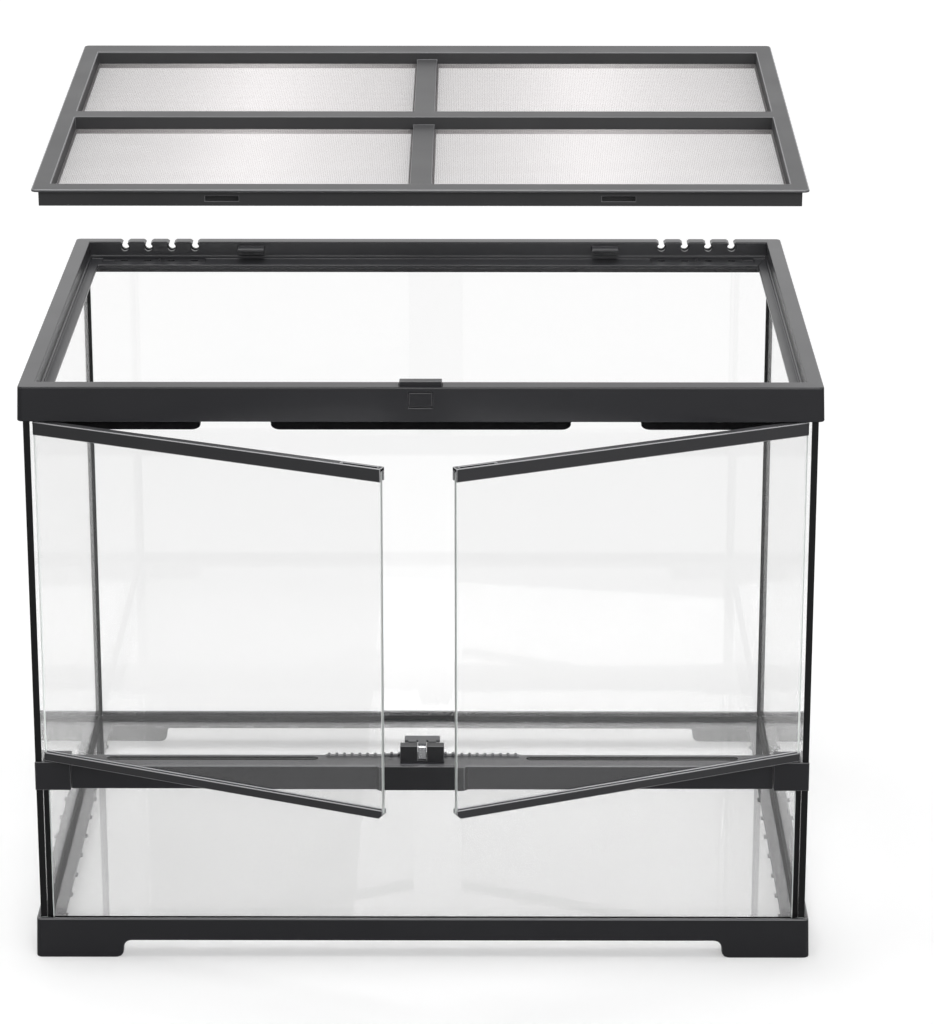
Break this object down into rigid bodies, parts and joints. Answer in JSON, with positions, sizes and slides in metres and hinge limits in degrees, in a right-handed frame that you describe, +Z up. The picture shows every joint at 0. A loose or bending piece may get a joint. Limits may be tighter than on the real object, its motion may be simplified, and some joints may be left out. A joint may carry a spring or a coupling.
{
  "type": "glass terrarium cabinet",
  "caption": "Glass terrarium cabinet with moulded frames, twin hinged glass doors over a vent rail, and a lift-off screen cover, shown with doors ajar and cover raised.",
  "frame": {"origin": "middle of the underside of the whole object's box, with the doors ajar and the cover raised, on the plane that the feet stand on", "axes": "+X to the right seen from the front, +Y towards the rear pane, +Z up"},
  "size_m": [0.607, 0.5742, 0.6371],
  "materials": {
    "black_plastic": "moulded satin black plastic",
    "dark_plastic": "moulded black plastic, slightly darker",
    "grey_plastic": "moulded dark grey plastic",
    "silicone": "black silicone",
    "glass": "clear float glass with polished edges",
    "steel": "bright stainless steel",
    "steel_screen": "fine stainless wire screen"
  },
  "bodies": {
    "cabinet": {"base_frame": "black_plastic", "bottom_pane": "glass", "left_pane": "glass", "right_pane": "glass", "rear_pane": "glass", "front_pane": "glass", "bottom_seal": "silicone", "left_rear_seal": "silicone", "right_rear_seal": "silicone", "left_front_seal": "silicone", "right_front_seal": "silicone", "left_edge_strip": "silicone", "right_edge_strip": "silicone", "vent_rail": "black_plastic", "vent_comb": "grey_plastic", "centre_plate": "dark_plastic", "left_hinge_block": "dark_plastic", "right_hinge_block": "dark_plastic", "left_lower_bush": "grey_plastic", "right_lower_bush": "grey_plastic", "left_upper_bush": "grey_plastic", "right_upper_bush": "grey_plastic", "top_frame": "black_plastic", "latch_pin": "steel", "lock_base": "dark_plastic", "lock_pin": "steel"},
    "left_door": {"left_door_pane": "glass", "left_door_top_rail": "black_plastic", "left_door_bottom_rail": "black_plastic", "left_door_upper_pin": "steel", "left_door_lower_pin": "steel"},
    "right_door": {"right_door_pane": "glass", "right_door_top_rail": "black_plastic", "right_door_bottom_rail": "black_plastic", "right_door_upper_pin": "steel", "right_door_lower_pin": "steel"},
    "cover": {"cover_frame": "black_plastic", "front_left_screen": "steel_screen", "front_right_screen": "steel_screen", "rear_left_screen": "steel_screen", "rear_right_screen": "steel_screen"},
    "latch": {"cover_latch": "black_plastic"},
    "lock": {"lock_lever": "grey_plastic", "lock_catch": "steel"},
    "left_slider": {"left_inlet_slider": "dark_plastic"},
    "right_slider": {"right_inlet_slider": "dark_plastic"}
  },
  "joints": [
    {"name": "left_door_hinge", "type": "hinge", "parent": "cabinet", "child": "left_door", "pos_m": [-0.2886, -0.16695, 0.3], "axis": [0, 0, -1], "range_deg": [-24, 96]},
    {"name": "right_door_hinge", "type": "hinge", "parent": "cabinet", "child": "right_door", "pos_m": [0.2886, -0.16695, 0.3], "axis": [0, 0, 1], "range_deg": [-24, 96]},
    {"name": "cover_lift", "type": "hinge", "parent": "cabinet", "child": "cover", "pos_m": [0, -2.79555, 0.5458], "axis": [1, 0, 0], "range_deg": [-3.2, 0]},
    {"name": "latch_press", "type": "hinge", "parent": "cabinet", "child": "latch", "pos_m": [0, -0.16335, 0.4605], "axis": [1, 0, 0], "range_deg": [0, 5], "stiffness_Nm_per_rad": 0.4},
    {"name": "lock_tilt", "type": "hinge", "parent": "cabinet", "child": "lock", "pos_m": [0, -0.15735, 0.168], "axis": [-1, 0, 0], "range_deg": [0, 10], "stiffness_Nm_per_rad": 0.3},
    {"name": "left_inlet_slide", "type": "slide", "parent": "cabinet", "child": "left_slider", "axis": [-1, 0, 0], "range_m": [0, 0.01]},
    {"name": "right_inlet_slide", "type": "slide", "parent": "cabinet", "child": "right_slider", "axis": [1, 0, 0], "range_m": [0, 0.01]}
  ]
}
